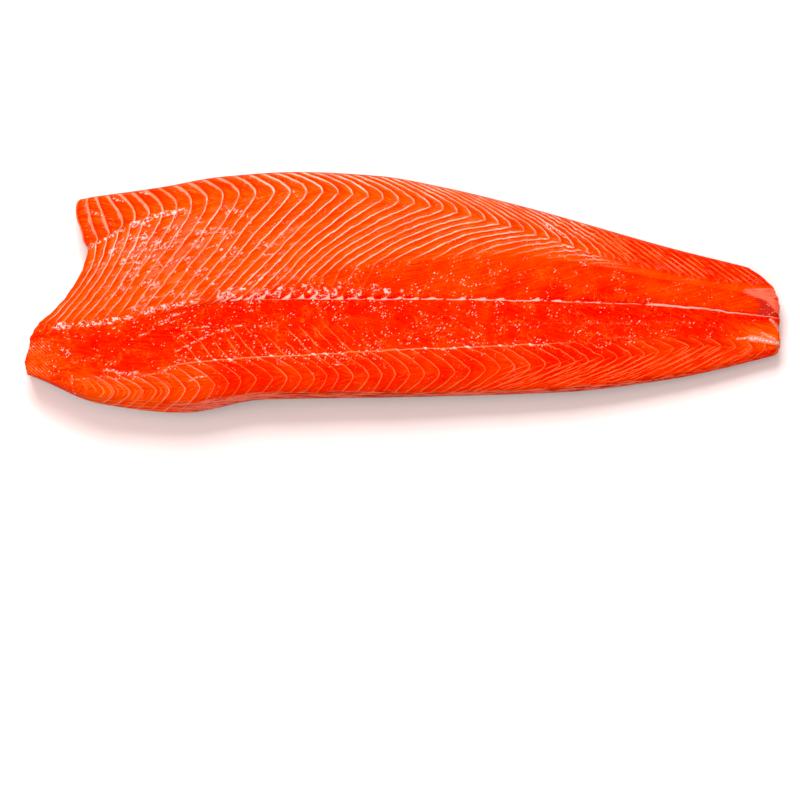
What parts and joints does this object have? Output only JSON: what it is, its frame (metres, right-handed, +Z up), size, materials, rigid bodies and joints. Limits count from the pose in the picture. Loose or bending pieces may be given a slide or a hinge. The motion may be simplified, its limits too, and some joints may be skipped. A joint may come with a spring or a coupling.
{
  "type": "raw salmon fillet",
  "caption": "Side of raw salmon lying skin down: orange-red flesh with pale W-shaped muscle lines, a red spine channel, thin belly and a scaled silver skin.",
  "frame": {"origin": "bottom centre of the bounding box, on the plane that the skin rests on", "axes": "+X towards the tail cut, +Y towards the belly edge, +Z up out of the flesh"},
  "size_m": [0.46, 0.147, 0.0279],
  "materials": {
    "flesh": "wet raw salmon flesh, orange-red, with pale septa and a deep red spine channel",
    "skin": "wet scaled fish skin, dark along the back and silver towards the belly"
  },
  "bodies": {
    "root": {"flesh": "flesh", "skin": "skin"}
  },
  "joints": []
}
